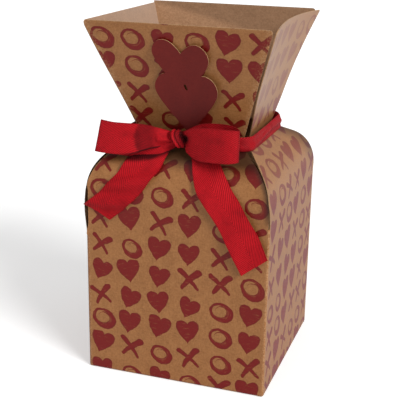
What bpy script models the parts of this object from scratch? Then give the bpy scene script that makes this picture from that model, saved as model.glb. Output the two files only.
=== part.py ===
"""Bouquet box: a folding card box with bent shoulders, a creased neck and four flared
petals, tied round the neck with a ribbon bow that holds a double-heart tag.

Run in Blender 4.5. Lengths are in metres, +Z is up, the front faces -Y, and the origin
is on the floor under the middle of the box.
"""

import math

import bmesh
import bpy
from mathutils import Euler, Matrix, Vector

MM = 0.001

# Card body: one die-cut blank, so its walls, shoulders and petals share these sizes.
BOX_SIDE = 120 * MM
WALL_HEIGHT = 121.5 * MM
CARD = 0.5 * MM
GAP = 0.3 * MM
SHOULDER_RADIUS = 33.5 * MM
SHOULDER_TURN = math.radians(52.5)
SHOULDER_FLAT = 14 * MM
PETAL_LENGTH = 76 * MM
PETAL_LEAN = math.radians(17.9)
PETAL_CORNER_RADIUS = 4 * MM
PETAL_SLIT = 0.9 * MM
SHOULDER_SLIT = 0.4 * MM
RIGHT_PETAL_BOW = 4.5 * MM

# Relief cuts beside the neck crease, on each side's left and right edge seen from outside:
# (depth, reach), first down the shoulder and then up the petal. The front's right edge has none.
SHOULDER_RELIEF = {
    "front": ((3.0 * MM, 19 * MM), (0.0, 19 * MM)),
    "right": ((5.0 * MM, 19 * MM), (6.5 * MM, 22 * MM)),
    "back": ((6.5 * MM, 22 * MM), (6.5 * MM, 22 * MM)),
    "left": ((6.5 * MM, 22 * MM), (5.0 * MM, 19 * MM)),
}
PETAL_RELIEF = {
    "front": ((3.0 * MM, 40 * MM), (0.0, 19 * MM)),
    "right": ((5.0 * MM, 19 * MM), (5.0 * MM, 19 * MM)),
    "back": ((2.2 * MM, 60 * MM), (2.2 * MM, 60 * MM)),
    "left": ((5.0 * MM, 19 * MM), (5.0 * MM, 19 * MM)),
}

# Where the corner cuts start, the right wall's edge stands proud and the left wall's springs out,
# each from so far below the shoulder to so far up it.
RIGHT_EDGE_PROUD = 1.4 * MM
PROUD_BELOW = 9.5 * MM
PROUD_ABOVE = 16.5 * MM
LEFT_LIP_LIFT = 1.4 * MM
LIP_SLIT = 0.6 * MM
LIP_REACH = 14 * MM
LIP_BELOW = 29.5 * MM
LIP_ABOVE = 9.5 * MM

# Glue flap inside the left wall.
GLUE_FLAP_WIDTH = 15 * MM
GLUE_FLAP_TAPER = 6 * MM
GLUE_FLAP_MARGIN = 5 * MM

# Snap-lock base, from the outside in: front flap, side flaps, rear flap, tongue.
LAYER = CARD + GAP
REAR_FLAP_LENGTH = 76 * MM
NOTCH_CLEARANCE = 1.5 * MM
SIDE_FLAP_LENGTH = 39 * MM
SIDE_FLAP_SHORT = 20 * MM
FLAP_SHOULDER = 8 * MM
FRONT_FLAP_LENGTH = 63 * MM
TONGUE_WIDTH = 50 * MM
TONGUE_RISE_RUN = 7 * MM
TONGUE_LENGTH = 22 * MM
TONGUE_TIP_TAPER = 6 * MM

# Double-heart tag, measured up the front petal from the lower heart's tip.
TAG_CARD = 0.6 * MM
TAG_TIP_UP = 6 * MM
TAG_TIP_STANDOFF = 3.3 * MM
TAG_TOP_STANDOFF = 0.7 * MM
LOWER_HEART_WIDTH = 40 * MM
LOWER_HEART_HEIGHT = 39.8 * MM
LOWER_HEART_TILT = math.radians(-1.5)
LOWER_HEART_SHIFT = 2.2 * MM
LOWER_HEART_SKEW = 0.0
UPPER_HEART_WIDTH = 35.5 * MM
UPPER_HEART_HEIGHT = 34 * MM
UPPER_HEART_TILT = math.radians(-7)
UPPER_HEART_SHIFT = -3.2 * MM
UPPER_HEART_UP = 26.2 * MM
UPPER_HEART_SKEW = 4.0 * MM
TAG_SLOT_LENGTH = 4.2 * MM
TAG_SLOT_WIDTH = 1.6 * MM
TAG_SLOT_SHIFT = 2.4 * MM
TAG_SLOT_UP = 31.2 * MM
TAG_SLOT_TILT = math.radians(20)

# Right half of a heart one unit wide and high, from its tip to its cleft.
HEART_HALF = [(0, 0), (0.105, 0.13), (0.215, 0.27), (0.33, 0.42), (0.435, 0.58), (0.495, 0.73),
              (0.475, 0.86), (0.40, 0.96), (0.29, 1.0), (0.18, 0.97), (0.08, 0.89), (0, 0.79)]

# Ribbon: one length of twill, tied round the neck and knotted into a bow.
RIBBON_WIDTH = 21 * MM
RIBBON_THICKNESS = 0.6 * MM
GATHERED_WIDTH = 9 * MM
GATHER_RUN = 15 * MM
PLEAT_DEPTH = 0.7 * MM

# Band in the neck groove: distances out from the crease and up from it.
BAND_TOP_OUT = 5.0 * MM
BAND_TOP_UP = 4.6 * MM
BAND_BOTTOM_OUT = 5.9 * MM
BAND_BOTTOM_DOWN = 3.4 * MM
BAND_FRONT_RADIUS = 8.5 * MM
BAND_REAR_RADIUS = 12.5 * MM
BAND_THICKNESS = 0.7 * MM
BAND_FOLD = 0.6 * MM
BAND_PINCH = 1.6 * MM
BAND_PINCH_REACH = 16 * MM

# Knot, in front of the band.
KNOT_SHIFT = -3.0 * MM
KNOT_OUT = 11.9 * MM
KNOT_UP = 0.7 * MM
KNOT_WIDTH = 14 * MM
KNOT_DEPTH = 9.4 * MM
KNOT_HEIGHT = 16 * MM
KNOT_PLEATS = 7
KNOT_PLEAT_DEPTH = 0.45 * MM
KNOT_WAIST = 0.12

# Bow loops seen from above: (sideways from the box's middle, out from the crease).
LEFT_LOOP = [(-6.5, 13.8), (-15, 17.0), (-28, 20.2), (-42, 22.0), (-50.5, 22.2),
             (-52.5, 20.0), (-49.5, 18.2), (-38, 16.8), (-24, 16.0), (-14, 14.4), (-6.5, 11.2)]
LEFT_LOOP_UP = 0.9 * MM
LEFT_LOOP_SLANT = 0.24
RIGHT_LOOP = [(0.5, 13.6), (8, 18.0), (18, 22.8), (29, 25.4), (36.5, 25.2), (39.5, 21.6),
              (37.5, 18.0), (30, 16.2), (18, 15.6), (9, 14.2), (0.5, 11.2)]
RIGHT_LOOP_UP = 2.6 * MM
RIGHT_LOOP_SLANT = -0.03

# Tails on the front panel: (sideways, down the card from the neck crease, off the card).
LEFT_TAIL = [(-5.5, 11, 3.2), (-9, 13, 2.2), (-14, 16.5, 1.5), (-21, 22.5, 1.2), (-31, 33, 1.5),
             (-41.5, 45, 1.6), (-52, 57, 1.8)]
LEFT_TAIL_CUT = 6 * MM
RIGHT_TAIL = [(1, 11, 3.4), (5, 13, 2.6), (10, 16, 1.9), (16.5, 21.5, 1.5), (25, 32, 1.6),
              (38, 55, 1.6), (52.5, 79.5, 2.4)]
RIGHT_TAIL_CUT = -2.5 * MM
TAIL_START_WIDTH = 10 * MM

# Mesh fineness.
BEND_STEPS = 12
ACROSS_STEPS = 10
RELIEF_STEPS = 7
CORNER_STEPS = 6
HEART_STEPS = 22
SLOT_POINTS = 12
LOOP_STEPS = 34
TAIL_STEPS = 18
RIBBON_COLUMNS = 6
BAND_SIDE_STEPS = 8
BAND_CORNER_STEPS = 5

HALF = BOX_SIDE / 2
BEND_LENGTH = SHOULDER_RADIUS * SHOULDER_TURN
SHOULDER_LENGTH = BEND_LENGTH + SHOULDER_FLAT
PANEL_LENGTH = WALL_HEIGHT + SHOULDER_LENGTH
QUARTER_TURN = math.pi / 2
SIDES = ("front", "right", "back", "left")


def smooth(share):
    """0 to 1, eased at both ends."""
    share = min(max(share, 0.0), 1.0)
    return share * share * (3 - 2 * share)


def panel_profile(up):
    """(inset, height, slope) of the card's outer face, for a length measured up the card."""
    if up <= WALL_HEIGHT:
        return 0.0, up, 0.0
    along = up - WALL_HEIGHT
    turn = min(along / SHOULDER_RADIUS, SHOULDER_TURN)
    inset = SHOULDER_RADIUS * (1 - math.cos(turn))
    height = WALL_HEIGHT + SHOULDER_RADIUS * math.sin(turn)
    straight = max(along - BEND_LENGTH, 0.0)
    return inset + straight * math.sin(turn), height + straight * math.cos(turn), turn


NECK_INSET, NECK_HEIGHT, _ = panel_profile(PANEL_LENGTH)
NECK_HALF = HALF - NECK_INSET


def card_material(name, colour, roughness):
    material = bpy.data.materials.new(name)
    material.use_nodes = True
    shader = material.node_tree.nodes["Principled BSDF"]
    shader.inputs["Base Color"].default_value = (*colour, 1.0)
    shader.inputs["Roughness"].default_value = roughness
    shader.inputs["Metallic"].default_value = 0.0
    return material


def finish(obj, collection, material, parent=None):
    for other in list(obj.users_collection):
        other.objects.unlink(obj)
    collection.objects.link(obj)
    obj.data.materials.clear()
    obj.data.materials.append(material)
    obj.parent = parent
    return obj


def sheet(name, rows, columns, place, thickness, offset=-1.0, ring=False):
    """A grid bent by place(across, row): across runs from -1 to 1 and row from 0 to rows.

    Its outer face keeps the placed points, and Solidify gives it its thickness."""
    mesh = bpy.data.meshes.new(name)
    bm = bmesh.new()
    bmesh.ops.create_grid(bm, x_segments=columns, y_segments=rows, size=1.0)
    for vertex in bm.verts:
        row = round((vertex.co.y + 1) / 2 * rows)
        vertex.co = place(vertex.co.x, row)
    if ring:
        bmesh.ops.remove_doubles(bm, verts=bm.verts, dist=0.01 * MM)
    bm.to_mesh(mesh)
    bm.free()
    mesh.shade_smooth()
    obj = bpy.data.objects.new(name, mesh)
    bpy.context.scene.collection.objects.link(obj)
    thicken = obj.modifiers.new("card thickness", "SOLIDIFY")
    thicken.thickness = thickness
    thicken.offset = offset
    thicken.use_even_offset = True
    return obj


def panel_rows():
    """Lengths up the card at which a wall and its shoulder get a row of points."""
    rows = [0.0, WALL_HEIGHT - LIP_BELOW, WALL_HEIGHT - (LIP_BELOW + PROUD_BELOW) / 2]
    rows += [WALL_HEIGHT - PROUD_BELOW, WALL_HEIGHT]
    rows += [WALL_HEIGHT + BEND_LENGTH * step / BEND_STEPS for step in range(1, BEND_STEPS + 1)]
    rows += [PANEL_LENGTH - SHOULDER_FLAT * 2 / 3, PANEL_LENGTH - SHOULDER_FLAT / 3]
    return rows + [PANEL_LENGTH - GAP]


def bump(above, below, top):
    """A smooth rise and fall from so far below the shoulder to so far above its foot."""
    middle = (top - below) / 2
    half = (top + below) / 2
    return smooth(1 - abs(above - middle) / half)


def relief_depth(relief, from_neck):
    depth, reach = relief
    return depth * smooth(1 - from_neck / reach)


def covering_edge(side, up):
    """Half-width out to a wall's left edge, which covers its neighbour's cut edge."""
    above = up - WALL_HEIGHT
    slit = SHOULDER_SLIT * smooth(above / BEND_LENGTH) + LIP_SLIT * bump(above, LIP_BELOW, LIP_ABOVE)
    proud = RIGHT_EDGE_PROUD * bump(above, PROUD_BELOW, PROUD_ABOVE) if side == "right" else 0.0
    relief = relief_depth(SHOULDER_RELIEF[side][0], PANEL_LENGTH - up)
    return HALF - panel_profile(up)[0] - slit + proud - relief


def covered_edge(side, up):
    """Half-width out to a wall's right edge, which runs behind its neighbour's left one."""
    inset, _, slope = panel_profile(up)
    slit = SHOULDER_SLIT * smooth((up - WALL_HEIGHT) / BEND_LENGTH)
    relief = relief_depth(SHOULDER_RELIEF[side][1], PANEL_LENGTH - up)
    return HALF - inset - (CARD + GAP) / math.cos(slope) - slit - relief


def lip_lift(side, from_edge, up):
    """How far the left wall's front edge springs out beside the corner cut."""
    if side != "left":
        return 0.0
    near = max(1 - from_edge / LIP_REACH, 0.0) ** 2
    return LEFT_LIP_LIFT * near * bump(up - WALL_HEIGHT, LIP_BELOW, LIP_ABOVE)


def wall(side, turn):
    """One wall with its shoulder, bent from flat card in one sheet."""
    rows = panel_rows()

    def place(across, row):
        up = rows[row]
        left = covering_edge(side, up)
        right = covered_edge(side, up)
        x = (right - left) / 2 + (right + left) / 2 * math.sin(across * QUARTER_TURN)
        inset, height, slope = panel_profile(up)
        lift = lip_lift(side, right - x, up)
        out = HALF - inset + lift * math.cos(slope)
        return Vector((x, -out, height + lift * math.sin(slope)))

    obj = sheet(side + "_panel", len(rows) - 1, ACROSS_STEPS, place, CARD)
    obj.rotation_euler = Euler((0, 0, turn))
    return obj


def crease_empty(name, turn, collection):
    """An empty on a neck crease, about which that petal folds."""
    empty = bpy.data.objects.new(name, None)
    spot = Vector((0, -NECK_HALF, NECK_HEIGHT))
    empty.location = Matrix.Rotation(turn, 3, "Z") @ spot
    empty.rotation_euler = Euler((0, 0, turn))
    collection.objects.link(empty)
    return empty


def petal_edge(side, edge, along):
    """Half-width out to a petal's edge: it flares to the rim, where its corner is rounded."""
    width = NECK_HALF + along * math.sin(PETAL_LEAN) - PETAL_SLIT
    radius = PETAL_CORNER_RADIUS
    into_corner = max(along - (PETAL_LENGTH - radius), 0.0)
    rounding = radius - math.sqrt(max(radius * radius - into_corner * into_corner, 0.0))
    return width - rounding - relief_depth(PETAL_RELIEF[side][edge], along)


def petal_rows():
    """Lengths up a petal: close together by the relief cuts and round the corners."""
    straight = PETAL_LENGTH - PETAL_CORNER_RADIUS
    relief_end = straight / 3
    rows = [GAP] + [relief_end * step / RELIEF_STEPS for step in range(1, RELIEF_STEPS + 1)]
    rows += [straight * 2 / 3, straight]
    for step in range(1, CORNER_STEPS + 1):
        rows.append(straight + PETAL_CORNER_RADIUS * math.sin(QUARTER_TURN * step / CORNER_STEPS))
    return rows


def petal(side, bow=0.0):
    """A flared petal in its crease's frame, bowed inward between its edges if bow is set."""
    rows = petal_rows()

    def place(across, row):
        along = rows[row]
        left = petal_edge(side, 0, along)
        right = petal_edge(side, 1, along)
        sink = bow * (along / PETAL_LENGTH) * (1 - across * across)
        out = along * math.sin(PETAL_LEAN) - sink * math.cos(PETAL_LEAN)
        up = along * math.cos(PETAL_LEAN) + sink * math.sin(PETAL_LEAN)
        return Vector(((right - left) / 2 + across * (right + left) / 2, -out, up))

    return sheet(side + "_petal", len(rows) - 1, ACROSS_STEPS if bow else 2, place, CARD)


def flat_card(name, outline, bottom, thickness=CARD):
    """A flat piece of card: a filled 2D curve, given half its thickness each way."""
    curve = bpy.data.curves.new(name, "CURVE")
    curve.dimensions = "2D"
    curve.fill_mode = "BOTH"
    curve.extrude = thickness / 2
    spline = curve.splines.new("POLY")
    spline.points.add(len(outline) - 1)
    for point, (x, y) in zip(spline.points, outline):
        point.co = (x, y, 0.0, 1.0)
    spline.use_cyclic_u = True
    obj = bpy.data.objects.new(name, curve)
    bpy.context.scene.collection.objects.link(obj)
    obj.location.z = bottom + thickness / 2
    return obj


def as_mesh(obj):
    """The same object as a welded mesh, for a Boolean."""
    bpy.context.view_layer.update()
    graph = bpy.context.evaluated_depsgraph_get()
    mesh = bpy.data.meshes.new_from_object(obj.evaluated_get(graph))
    bm = bmesh.new()
    bm.from_mesh(mesh)
    bmesh.ops.remove_doubles(bm, verts=bm.verts, dist=0.001 * MM)
    bm.to_mesh(mesh)
    bm.free()
    made = bpy.data.objects.new(obj.name, mesh)
    made.matrix_world = obj.matrix_world
    name = obj.name
    bpy.data.objects.remove(obj)
    made.name = name
    mesh.name = name
    bpy.context.scene.collection.objects.link(made)
    return made


def cut(obj, cutter, operation, helpers):
    """Adds an exact Boolean, and puts the other solid away with the helpers."""
    step = obj.modifiers.new(cutter.name, "BOOLEAN")
    step.operation = operation
    step.solver = "EXACT"
    step.object = cutter
    for other in list(cutter.users_collection):
        other.objects.unlink(cutter)
    helpers.objects.link(cutter)
    cutter.hide_render = True
    cutter.display_type = "WIRE"


def glue_flap(name):
    """Card strip on the back panel's edge, lying against the inside of the left wall."""
    inner = HALF - CARD - GAP
    low = GLUE_FLAP_MARGIN
    high = WALL_HEIGHT - GLUE_FLAP_MARGIN
    near = inner - CARD - GAP
    far = near - GLUE_FLAP_WIDTH
    outline = [(near, low), (near, high), (far, high - GLUE_FLAP_TAPER), (far, low + GLUE_FLAP_TAPER)]
    obj = flat_card(name, outline, 0.0)
    obj.rotation_euler = Euler((QUARTER_TURN, 0, QUARTER_TURN))
    obj.location = (-inner + CARD / 2, 0, 0)
    return obj


def rear_flap(name):
    wide = HALF - CARD - GAP
    edge = HALF - CARD - GAP
    free = edge - REAR_FLAP_LENGTH
    notch = TONGUE_WIDTH / 2 + NOTCH_CLEARANCE
    notch_end = FRONT_FLAP_LENGTH + TONGUE_RISE_RUN - edge + NOTCH_CLEARANCE
    corner = FLAP_SHOULDER
    outline = [(-wide, edge), (-wide + corner / 4, free + corner), (-wide + corner, free)]
    outline += [(-notch - corner / 2, free), (-notch, free + corner / 2), (-notch, notch_end)]
    outline += [(-x, y) for x, y in reversed(outline)]
    return flat_card(name, outline, 2 * LAYER)


def side_flap(name, turn):
    """A dust flap, cut back towards the rear so that the tongue can pass it."""
    edge = HALF - CARD - GAP
    span = HALF - CARD - 2 * GAP
    deep = edge - SIDE_FLAP_LENGTH
    shallow = edge - SIDE_FLAP_SHORT
    corner = FLAP_SHOULDER
    outline = [(edge, -span + corner / 4), (deep + corner, -span + corner), (deep, -span + 2 * corner)]
    outline += [(deep, -corner), (shallow, -corner + (shallow - deep)), (shallow, span - corner)]
    outline += [(edge, span - corner / 4)]
    if turn:
        outline = [(-x, y) for x, y in reversed(outline)]
    return flat_card(name, outline, LAYER)


def front_flap(name):
    """The locking flap: it lies outside, and its tongue rises through the rear notch."""
    edge = -(HALF - CARD - GAP)
    wide = HALF - CARD - GAP
    foot = edge + FRONT_FLAP_LENGTH
    rise_end = foot + TONGUE_RISE_RUN
    tip = rise_end + TONGUE_LENGTH
    narrow = TONGUE_WIDTH / 2
    top = 3 * LAYER + CARD
    rows = [(edge, wide, CARD), (edge + FLAP_SHOULDER, wide - FLAP_SHOULDER / 4, CARD)]
    rows += [(foot - FLAP_SHOULDER, wide - FLAP_SHOULDER, CARD), (foot - FLAP_SHOULDER / 4, narrow, CARD)]
    rows += [(foot, narrow, CARD), (rise_end, narrow, top)]
    rows += [(tip - TONGUE_TIP_TAPER, narrow, top), (tip, narrow - TONGUE_TIP_TAPER, top)]

    def place(across, row):
        y, half_width, height = rows[row]
        return Vector((across * half_width, y, height))

    return sheet(name, len(rows) - 1, 2, place, CARD)


def turned(x, y, tilt, shift, up):
    """The point (x, y) turned by tilt about the origin, then moved to (shift, up)."""
    turn_x = x * math.cos(tilt) - y * math.sin(tilt)
    turn_y = x * math.sin(tilt) + y * math.cos(tilt)
    return shift + turn_x, up + turn_y


def heart_outline(width, height, tilt, shift, up, skew):
    """Closed heart curve, turned by tilt about (shift, up). Its tip stands skew off that point."""
    half = spline_points([Vector((x * width, y * height)) for x, y in HEART_HALF], HEART_STEPS)
    mirrored = [Vector((-point.x, point.y)) for point in reversed(half[1:-1])]
    points = []
    for point in half + mirrored:
        x = point.x + skew * (1 - point.y / height)
        points.append(turned(x, point.y, tilt, shift, up))
    return points


def slot_outline():
    """Small punched slot with round ends."""
    points = []
    radius = TAG_SLOT_WIDTH / 2
    straight = TAG_SLOT_LENGTH / 2 - radius
    for step in range(SLOT_POINTS):
        turn = 2 * math.pi * (step + 0.5) / SLOT_POINTS
        y = radius * math.sin(turn) + math.copysign(straight, math.sin(turn))
        points.append(turned(radius * math.cos(turn), y, TAG_SLOT_TILT, TAG_SLOT_SHIFT, TAG_SLOT_UP))
    return points


def heart_tag(name, helpers):
    """Two hearts in one piece of card, with its origin at the lower heart's tip."""
    lower = heart_outline(LOWER_HEART_WIDTH, LOWER_HEART_HEIGHT, LOWER_HEART_TILT,
                          LOWER_HEART_SHIFT, 0.0, LOWER_HEART_SKEW)
    upper = heart_outline(UPPER_HEART_WIDTH, UPPER_HEART_HEIGHT, UPPER_HEART_TILT,
                          UPPER_HEART_SHIFT, UPPER_HEART_UP, UPPER_HEART_SKEW)
    tag = as_mesh(flat_card(name, lower, 0.0, TAG_CARD))
    top = as_mesh(flat_card("upper_heart_joined", upper, 0.0, TAG_CARD))
    slot = as_mesh(flat_card("tag_slot_cut", slot_outline(), -TAG_CARD, 3 * TAG_CARD))
    reach = UPPER_HEART_UP + UPPER_HEART_HEIGHT
    settle = math.asin((TAG_TIP_STANDOFF - TAG_TOP_STANDOFF) / reach)
    lean = PETAL_LEAN - settle
    tip = Vector((0, -TAG_TIP_UP * math.sin(PETAL_LEAN), TAG_TIP_UP * math.cos(PETAL_LEAN)))
    out = Vector((0, -math.cos(PETAL_LEAN), -math.sin(PETAL_LEAN)))
    spot = tip + out * TAG_TIP_STANDOFF
    for piece in (tag, top, slot):
        piece.rotation_euler = Euler((QUARTER_TURN + lean, 0, 0))
        piece.location = spot + piece.location.z * out
    cut(tag, top, "UNION", helpers)
    cut(tag, slot, "DIFFERENCE", helpers)
    return tag, top, slot


def spline_points(points, count):
    """Points along a smooth curve through the given ones, evenly spaced in its parameter."""
    ends = [points[0] * 2 - points[1]] + points + [points[-1] * 2 - points[-2]]
    spans = len(points) - 1
    made = []
    for step in range(count + 1):
        place = min(step / count * spans, spans - 1e-9)
        span = int(place)
        t = place - span
        a, b, c, d = ends[span:span + 4]
        made.append(0.5 * (2 * b + (c - a) * t + (2 * a - 5 * b + 4 * c - d) * t * t
                           + (3 * b - a - 3 * c + d) * t * t * t))
    return made


def run_lengths(points):
    lengths = [0.0]
    for first, second in zip(points, points[1:]):
        lengths.append(lengths[-1] + (second - first).length)
    return lengths


def bow_loop(name, plan, rise, slant):
    """A ribbon loop standing on edge, gathered where both its ends enter the knot."""
    path = spline_points([Vector((x * MM, out * MM, 0)) for x, out in plan], LOOP_STEPS)
    lengths = run_lengths(path)
    total = lengths[-1]
    reach = max(abs(point.x) for point in path)

    def place(across, row):
        point = path[row]
        ahead = path[min(row + 1, LOOP_STEPS)] - path[max(row - 1, 0)]
        face = Vector((ahead.y, -ahead.x, 0)).normalized()
        from_end = min(lengths[row], total - lengths[row])
        spread = smooth(from_end / GATHER_RUN)
        width = GATHERED_WIDTH + (RIBBON_WIDTH - GATHERED_WIDTH) * spread
        pleat = PLEAT_DEPTH * (1 - spread) * math.cos(across * 2 * math.pi)
        height = across * width / 2
        lean = slant * height * (point.x / reach) ** 2
        spot = point + face * pleat
        centre = KNOT_UP + (rise - KNOT_UP) * spread
        return Vector((spot.x + lean, -NECK_HALF - spot.y, NECK_HEIGHT + centre + height))

    return sheet(name, LOOP_STEPS, RIBBON_COLUMNS, place, RIBBON_THICKNESS, offset=0.0)


def over_front(x, down, off):
    """A point off the front panel, by its length down the card from the neck crease."""
    inset, height, slope = panel_profile(PANEL_LENGTH - down)
    out = HALF - inset + off * math.cos(slope)
    return Vector((x, -out, height + off * math.sin(slope)))


def bow_tail(name, route, end_cut):
    """A ribbon end that falls from the knot over the shoulder and lies on the front panel."""
    path = spline_points([Vector(point) * MM for point in route], TAIL_STEPS)
    lengths = run_lengths(path)

    def place(across, row):
        point = path[row]
        ahead = path[min(row + 1, TAIL_STEPS)] - path[max(row - 1, 0)]
        ahead.z = 0
        ahead.normalize()
        side = Vector((-ahead.y, ahead.x, 0))
        spread = smooth(lengths[row] / (1.6 * GATHER_RUN))
        width = TAIL_START_WIDTH + (RIBBON_WIDTH - TAIL_START_WIDTH) * spread
        share = lengths[row] / lengths[-1]
        spot = point + side * (across * width / 2) + ahead * (across * end_cut / 2 * share ** 4)
        pleat = PLEAT_DEPTH * (1 - spread) * math.cos(across * 2 * math.pi)
        return over_front(spot.x, spot.y, spot.z + pleat)

    return sheet(name, TAIL_STEPS, RIBBON_COLUMNS, place, RIBBON_THICKNESS, offset=0.0)


def band_path(out, front_radius, rear_radius):
    """Rounded square round the neck, starting at the left end of the front side."""
    half = NECK_HALF + out
    radii = (front_radius, front_radius, rear_radius, rear_radius)
    points = []
    for side in range(4):
        turn = Matrix.Rotation(side * QUARTER_TURN, 3, "Z")
        start = -half + radii[side]
        radius = radii[(side + 1) % 4]
        end = half - radius
        for step in range(BAND_SIDE_STEPS):
            points.append(turn @ Vector((start + (end - start) * step / BAND_SIDE_STEPS, -half, 0)))
        for step in range(BAND_CORNER_STEPS):
            angle = QUARTER_TURN * step / BAND_CORNER_STEPS
            corner = Vector((end + radius * math.sin(angle), -end - radius * math.cos(angle), 0))
            points.append(turn @ corner)
    return points + [points[0]]


def ribbon_band(name):
    """The ribbon where it is tied round the neck: gathered, and folded wider behind right."""
    top = band_path(BAND_TOP_OUT, BAND_FRONT_RADIUS, BAND_REAR_RADIUS)
    bottom = band_path(BAND_BOTTOM_OUT, BAND_FRONT_RADIUS, BAND_REAR_RADIUS)
    fold = Vector((NECK_HALF, NECK_HALF, 0))

    def place(across, row):
        near_fold = smooth(1 - (top[row] - fold).length / NECK_HALF)
        pinch = smooth(1 - abs(top[row].x - KNOT_SHIFT) / BAND_PINCH_REACH) if top[row].y < 0 else 0.0
        low = bottom[row] + Vector((0, 0, -BAND_BOTTOM_DOWN + BAND_PINCH * pinch))
        high = top[row] + Vector((0, 0, BAND_TOP_UP - BAND_PINCH * pinch + BAND_FOLD * near_fold))
        outward = top[row].normalized()
        pleat = outward * (PLEAT_DEPTH / 2 * math.cos(across * 2 * math.pi) - PLEAT_DEPTH / 2)
        share = (across + 1) / 2
        return low.lerp(high, share) - pleat + Vector((0, 0, NECK_HEIGHT))

    return sheet(name, len(top) - 1, RIBBON_COLUMNS, place, BAND_THICKNESS, ring=True)


def bow_knot(name, grow=0.0):
    """The wrap of ribbon round the middle of the bow, with its folds running up and down."""
    mesh = bpy.data.meshes.new(name)
    bm = bmesh.new()
    bmesh.ops.create_uvsphere(bm, u_segments=28, v_segments=12, radius=1.0)
    for vertex in bm.verts:
        across = math.atan2(vertex.co.x, -vertex.co.y)
        folds = KNOT_PLEAT_DEPTH * math.cos(across * KNOT_PLEATS) * (1 - vertex.co.z ** 2)
        waist = 1 - KNOT_WAIST * (1 - vertex.co.z ** 2)
        vertex.co.x *= (KNOT_WIDTH / 2 + folds) * waist + grow
        vertex.co.y *= KNOT_DEPTH / 2 + folds + grow
        vertex.co.z *= KNOT_HEIGHT / 2 + grow
    bm.to_mesh(mesh)
    bm.free()
    mesh.shade_smooth()
    obj = bpy.data.objects.new(name, mesh)
    obj.location = (KNOT_SHIFT, -NECK_HALF - KNOT_OUT, NECK_HEIGHT + KNOT_UP)
    bpy.context.scene.collection.objects.link(obj)
    return obj


def card_body(parts, kraft):
    for number, side in enumerate(SIDES):
        finish(wall(side, number * QUARTER_TURN), parts, kraft)
    finish(glue_flap("glue_flap"), parts, kraft)


def card_base(parts, kraft):
    finish(rear_flap("base_rear_flap"), parts, kraft)
    finish(side_flap("base_right_flap", False), parts, kraft)
    finish(side_flap("base_left_flap", True), parts, kraft)
    finish(front_flap("base_front_flap"), parts, kraft)


def card_petals(parts, kraft):
    """The petals, each on an empty on its neck crease. Returns the front one's empty."""
    creases = []
    for number, side in enumerate(SIDES):
        crease = crease_empty(side + "_neck_crease", number * QUARTER_TURN, parts)
        bow = RIGHT_PETAL_BOW if side == "right" else 0.0
        finish(petal(side, bow), parts, kraft, crease)
        creases.append(crease)
    return creases[0]


def tag_on_petal(parts, helpers, tag_red, crease):
    tag, top, slot = heart_tag("heart_tag", helpers)
    finish(tag, parts, tag_red, crease)
    top.parent = crease
    slot.parent = crease


def ribbon_and_bow(parts, helpers, ribbon_red):
    finish(ribbon_band("ribbon_band"), parts, ribbon_red)
    finish(bow_knot("bow_knot"), parts, ribbon_red)
    clearance = bow_knot("knot_clearance", GAP)
    strips = [bow_loop("bow_loop_left", LEFT_LOOP, LEFT_LOOP_UP, LEFT_LOOP_SLANT),
              bow_loop("bow_loop_right", RIGHT_LOOP, RIGHT_LOOP_UP, RIGHT_LOOP_SLANT),
              bow_tail("bow_tail_left", LEFT_TAIL, LEFT_TAIL_CUT),
              bow_tail("bow_tail_right", RIGHT_TAIL, RIGHT_TAIL_CUT)]
    for strip in strips:
        finish(strip, parts, ribbon_red)
        cut(strip, clearance, "DIFFERENCE", helpers)


def main():
    for obj in list(bpy.data.objects):
        bpy.data.objects.remove(obj)
    parts = bpy.data.collections.new("bouquet_box")
    helpers = bpy.data.collections.new("cutters")
    for collection in (parts, helpers):
        bpy.context.scene.collection.children.link(collection)
    kraft = card_material("kraft card", (0.30, 0.145, 0.055), 0.8)
    tag_red = card_material("dark red card", (0.145, 0.012, 0.014), 0.7)
    ribbon_red = card_material("red twill ribbon", (0.42, 0.006, 0.014), 0.55)
    card_body(parts, kraft)
    card_base(parts, kraft)
    crease = card_petals(parts, kraft)
    tag_on_petal(parts, helpers, tag_red, crease)
    ribbon_and_bow(parts, helpers, ribbon_red)


main()
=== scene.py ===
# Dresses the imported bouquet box: printed kraft card, a red twill bow and a dark red heart tag.
# Lengths are in metres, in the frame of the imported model. The front faces -Y and +Z is up.
from functools import partial
from itertools import accumulate
from math import asin, copysign, cos, exp, pi, radians, sin, sqrt

import bmesh
import bpy
from mathutils import Matrix, Vector, noise


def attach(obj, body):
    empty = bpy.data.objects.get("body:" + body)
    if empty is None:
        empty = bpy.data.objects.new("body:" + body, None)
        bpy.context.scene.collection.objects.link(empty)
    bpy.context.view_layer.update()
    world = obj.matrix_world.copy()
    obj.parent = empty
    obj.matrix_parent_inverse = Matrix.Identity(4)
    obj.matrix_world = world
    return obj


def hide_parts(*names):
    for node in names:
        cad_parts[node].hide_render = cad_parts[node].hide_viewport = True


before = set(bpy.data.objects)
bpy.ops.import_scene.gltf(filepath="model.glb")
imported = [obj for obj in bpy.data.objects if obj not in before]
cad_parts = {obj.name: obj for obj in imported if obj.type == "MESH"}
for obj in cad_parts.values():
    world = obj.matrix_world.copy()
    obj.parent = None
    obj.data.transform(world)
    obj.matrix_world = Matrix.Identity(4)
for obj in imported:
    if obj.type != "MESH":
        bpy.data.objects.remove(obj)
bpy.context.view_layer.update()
mm = 0.001
quarter = pi / 2
sideNames = ("front", "right", "back", "left")
sideTurns = [Matrix.Rotation(number * quarter, 3, "Z") for number in range(4)]
white = (1, 1, 1, 1)


def linked(name, data):
    made = bpy.data.objects.new(name, data)
    bpy.context.scene.collection.objects.link(made)
    return made


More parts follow.
